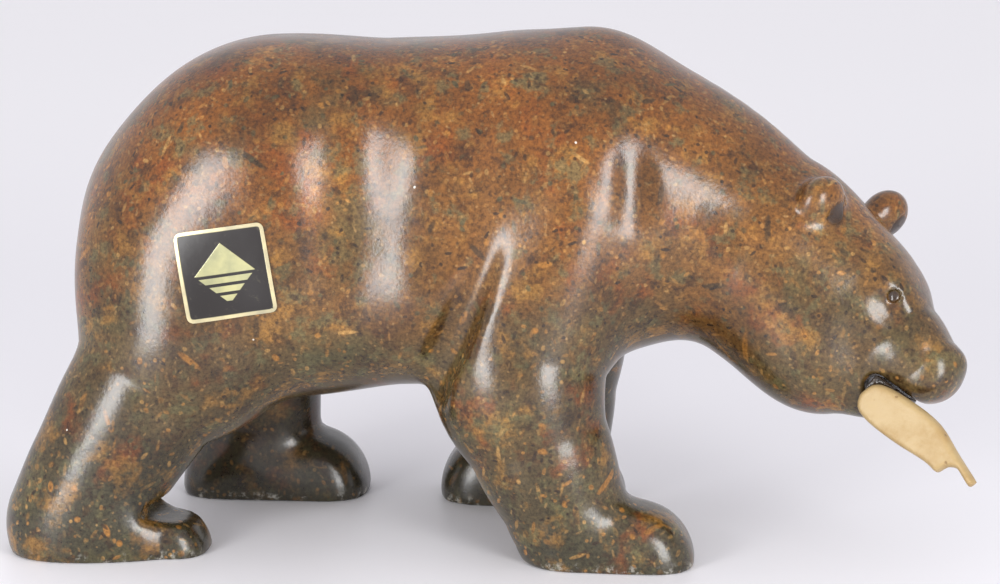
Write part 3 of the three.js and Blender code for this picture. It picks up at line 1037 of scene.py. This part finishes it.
@dataclass(frozen=True)
class FloorFinish:
    """A pale lilac-white table with a faint sheen."""

    pale: tuple[float, float, float] = (0.90, 0.89, 0.92)
    pale_far: tuple[float, float, float] = (0.985, 0.975, 0.99)

    def material(self) -> bpy.types.Material:
        """Builds the material."""
        made, graph, shader = blank_material("pale_floor")
        place = graph.coordinates()
        cloud = graph.math("MULTIPLY_ADD", graph.noise(place, 3.0, 2.0), 0.04, -0.02)
        away = graph.step(graph.vector("LENGTH", place), 0.10, 0.75)
        share = graph.math("ADD", away, cloud)
        colour = graph.ramp(share, (0.0, self.pale), (1.0, self.pale_far))
        graph.feed(shader.inputs["Base Color"], colour)
        shader.inputs["Roughness"].default_value = 0.45
        return made


Finish = SoapstoneFinish | CreamStoneFinish | GlueFinish | FoilFinish


# ---------------------------------------------------------------- the carving's pieces


@dataclass
class StoneBear:
    """The bear, an even mesh of its solid that is settled on the carved form."""

    form: BearForm
    cell: float = 1.05
    fine_from: float = -16.0
    slot_from: float = 8.0
    slot_below: float = 6.0
    loose: float = 0.7
    dent_reach: float = 4.6
    sharp_angle: float = 50.0

    def plugged(self) -> bpy.types.Mesh:
        """The bear's solid with its eyes and ear cups filled, so that they are carved anew."""
        mesh = merged_copy("bear")
        work = bmesh.new()
        work.from_mesh(mesh)
        holes = [((14.6, side * 6.6, 12.3), (3.4, 3.6, 3.2)) for side in (RIGHT, LEFT)]
        holes += [((u + 1.6, v, w + 0.4), (3.4, 3.4, 3.4)) for u, v, w in self.form.ears]
        for middle, halves in holes:
            spot = self.form.axes.to_body(np.array([middle]))[0] + PLACE
            turn = Matrix(self.form.axes.matrix().tolist()).to_4x4()
            size = Matrix.Diagonal((*halves, 1.0))
            place = Matrix.Translation(Vector(spot) * MM) @ turn @ size @ Matrix.Scale(MM, 4)
            bmesh.ops.create_uvsphere(work, u_segments=24, v_segments=16, radius=1.0, matrix=place)
        work.to_mesh(mesh)
        work.free()
        return mesh

    def refine(self, work: bmesh.types.BMesh, chosen: Callable[[np.ndarray], np.ndarray]) -> None:
        """Halves the faces at chosen places.

        Args:
            work: the bear's mesh.
            chosen: tells which points to take, from rows of u, v, w in the head's axes.
        """
        heads = self.form.axes.to_head(np.array([v.co for v in work.verts]) / MM - PLACE)
        inside = {v for v, take in zip(work.verts, chosen(heads)) if take}
        edges = [e for e in work.edges if e.verts[0] in inside and e.verts[1] in inside]
        bmesh.ops.subdivide_edges(work, edges=edges, cuts=1, use_grid_fill=True)

    def hollow_shade_places(self) -> tuple[tuple[tuple[float, float, float], float], ...]:
        """Middles and radii, in metres, of the eyes and the ear cups, which get painted shade
        inside.
        """
        return tuple(
            (tuple((self.form.axes.to_body(np.array([m]))[0] + PLACE) * MM), max(halves) * MM)
            for m, halves in self.form.dents()
        )

    def build(self) -> bpy.types.Object:
        """Builds the mesh, with smaller faces on the head."""
        mesh = even_mesh(self.plugged(), self.cell)
        work = bmesh.new()
        work.from_mesh(mesh)
        self.refine(work, lambda heads: heads[:, 0] > self.fine_from)
        dents = [middle for middle, _ in self.form.dents()]
        self.refine(
            work,
            lambda heads: (
                np.min([np.linalg.norm(heads - m, axis=1) for m in dents], axis=0)
                < self.dent_reach
            ),
        )
        work.to_mesh(mesh)
        work.free()
        points = carving_points(mesh)
        first = self.form.distance(points)
        moved = settled(points, self.form.distance, rounds=4)
        share = 1.0 - smooth_step(np.abs(first), self.loose, 2 * self.loose)
        heads = self.form.axes.to_head(points)
        in_slot = (heads[:, 0] > self.slot_from) & (heads[:, 2] < self.slot_below)
        share = np.where(in_slot, share, 1.0)
        put_points(mesh, points + (moved - points) * share[:, None])
        piece = linked("bear_stone", mesh)
        finished(piece, self.sharp_angle)
        return piece

    def dress(self, piece: bpy.types.Object, finish: Finish) -> None:
        """Gives the bear its polished stone."""
        dressed(piece, "bear", finish.material())


@dataclass
class SmallPiece:
    """A small piece that is rounded from its solid."""

    node: str
    name: str
    slot: str
    cell: float
    smoothing: int

    def build(self) -> bpy.types.Object:
        """Builds the rounded mesh."""
        mesh = even_mesh(merged_copy(self.node), self.cell)
        work = bmesh.new()
        work.from_mesh(mesh)
        for _ in range(self.smoothing):
            bmesh.ops.smooth_vert(
                work,
                verts=work.verts,
                factor=0.5,
                use_axis_x=True,
                use_axis_y=True,
                use_axis_z=True,
            )
        work.to_mesh(mesh)
        work.free()
        piece = linked(self.name, mesh)
        finished(piece, 80.0)
        return piece

    def dress(self, piece: bpy.types.Object, finish: Finish) -> None:
        """Gives the piece its finish."""
        dressed(piece, self.node, finish.material())


@dataclass
class FoilSeal:
    """The square foil seal, laid on the stone."""

    form: BearForm
    side: float = 19.0
    corner: float = 1.4
    thickness: float = 0.3
    middle: tuple[float, float, float] = (-54.0, -34.0, 62.9)
    tilt: float = 9.0
    cells: int = 38

    def build(self) -> bpy.types.Object:
        """Builds the seal from a grid that is rounded at its corners and settled on the stone."""
        work = bmesh.new()
        layer = work.loops.layers.uv.new("seal")
        bmesh.ops.create_grid(
            work, x_segments=self.cells, y_segments=self.cells, size=self.side / 2, calc_uvs=True
        )
        half = self.side / 2
        for face in work.faces:
            for loop in face.loops:
                loop[layer].uv = (loop.vert.co.x / self.side + 0.5, loop.vert.co.y / self.side + 0.5)
        for vert in work.verts:
            inner = half - self.corner
            over = Vector((abs(vert.co.x) - inner, abs(vert.co.y) - inner))
            if over.x > 0 and over.y > 0:
                shrink = max(over.x, over.y) / over.length
                vert.co.x = math.copysign(inner + over.x * shrink, vert.co.x)
                vert.co.y = math.copysign(inner + over.y * shrink, vert.co.y)
        tilt = math.radians(self.tilt)
        for vert in work.verts:
            across = vert.co.x * math.cos(tilt) - vert.co.y * math.sin(tilt)
            up = vert.co.x * math.sin(tilt) + vert.co.y * math.cos(tilt)
            vert.co = Vector((across, 0.0, up)) + Vector(self.middle)
        mesh = bpy.data.meshes.new("foil_seal")
        work.to_mesh(mesh)
        work.free()
        flat = np.empty(len(mesh.vertices) * 3)
        mesh.vertices.foreach_get("co", flat)
        points = settled(flat.reshape(-1, 3), self.form.distance, level=0.4, rounds=5)
        put_points(mesh, points)
        piece = linked("hip_seal", mesh)
        wall = piece.modifiers.new("thickness", "SOLIDIFY")
        wall.thickness = self.thickness * MM
        wall.offset = -1.0
        graph = bpy.context.evaluated_depsgraph_get()
        piece.data = bpy.data.meshes.new_from_object(piece.evaluated_get(graph))
        piece.modifiers.clear()
        finished(piece, 40.0)
        return piece

    def dress(self, piece: bpy.types.Object, finish: Finish) -> None:
        """Gives the seal its foil."""
        dressed(piece, "foil_seal", finish.material())


# ---------------------------------------------------------------- studio


@dataclass(frozen=True)
class Studio:
    """The pale floor that the carving stands on, its lamps and the camera."""

    sweep: float = 3.0
    lens: float = 95.65
    camera_from: tuple[float, float, float] = (51.6, -559.5, 173.2)
    camera_to: tuple[float, float, float] = (2.22, 5.68, 52.6)
    strip_elevation: float = 9.0
    strip_distance: float = 0.5
    strip_size: tuple[float, float] = (0.15, 0.27)
    strip_power: float = 1.55
    strip_azimuths: tuple[tuple[str, float], ...] = (("strip_left", -35.0), ("strip_right", 37.5))
    air: tuple[float, float, float] = (0.83, 0.82, 0.86)

    def floor(self) -> None:
        """Builds the floor."""
        work = bmesh.new()
        bmesh.ops.create_grid(work, x_segments=1, y_segments=1, size=self.sweep)
        mesh = bpy.data.meshes.new("studio_floor")
        work.to_mesh(mesh)
        work.free()
        floor = linked("studio_floor", mesh)
        mesh.materials.append(FloorFinish().material())

    def camera(self) -> None:
        """Places the camera."""
        data = bpy.data.cameras.new("camera")
        data.lens = self.lens
        data.clip_start = 0.01
        camera = bpy.data.objects.new("camera", data)
        bpy.context.scene.collection.objects.link(camera)
        place = Vector(self.camera_from) * MM
        aim = Vector(self.camera_to) * MM - place
        camera.location = place
        camera.rotation_euler = aim.to_track_quat("-Z", "Y").to_euler()
        bpy.context.scene.camera = camera

    def lamp(self, name: str, azimuth: float) -> None:
        """A soft upright strip lamp that faces the carving.

        Args:
            name: the lamp's name.
            azimuth: degrees from the front, towards +X.
        """
        data = bpy.data.lights.new(name, "AREA")
        data.shape = "RECTANGLE"
        data.size, data.size_y = self.strip_size
        data.energy = self.strip_power
        lamp = bpy.data.objects.new(name, data)
        bpy.context.scene.collection.objects.link(lamp)
        turn, rise = math.radians(azimuth), math.radians(self.strip_elevation)
        middle = Vector((0.0, 0.0, 0.06))
        way = Vector(
            (math.sin(turn) * math.cos(rise), -math.cos(turn) * math.cos(rise), math.sin(rise))
        )
        lamp.location = middle + way * self.strip_distance
        lamp.rotation_euler = (-way).to_track_quat("-Z", "Y").to_euler()

    def lights(self) -> None:
        """Places the lamps and the pale surroundings."""
        world = bpy.data.worlds.new("studio")
        world.use_nodes = True
        backdrop = world.node_tree.nodes["Background"]
        backdrop.inputs["Color"].default_value = (*self.air, 1.0)
        backdrop.inputs["Strength"].default_value = 1.0
        bpy.context.scene.world = world
        for name, azimuth in self.strip_azimuths:
            self.lamp(name, azimuth)
        bpy.context.scene.view_settings.view_transform = "Standard"

    def build(self) -> None:
        """Builds the whole studio."""
        self.floor()
        self.camera()
        self.lights()


# ---------------------------------------------------------------- putting it together


def main() -> None:
    """Builds the pieces in order and reports each."""
    logging.basicConfig(level=logging.INFO, format="%(message)s")
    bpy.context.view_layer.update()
    form = BearForm()
    studio = Studio()
    studio.build()
    flecks, relief = fleck_group(), relief_group()
    bear = StoneBear(form)
    stone = bear.build()
    bear.dress(stone, SoapstoneFinish(flecks, relief, bear.hollow_shade_places()))
    LOG.info("bear: %d faces", len(stone.data.polygons))
    parts = (
        (
            SmallPiece("fish", "cream_fish", "fish_stone", 0.35, 6),
            CreamStoneFinish(relief),
        ),
        (
            SmallPiece("mouth_glue", "mouth_filling", "dark_glue", 0.3, 3),
            GlueFinish(relief),
        ),
    )
    for part, finish in parts:
        piece = part.build()
        part.dress(piece, finish)
        LOG.info("%s: %d faces", part.name, len(piece.data.polygons))
    seal = FoilSeal(form)
    foil = seal.build()
    seal.dress(foil, FoilFinish())
    LOG.info("seal: %d faces", len(foil.data.polygons))


if __name__ == "__main__":
    main()
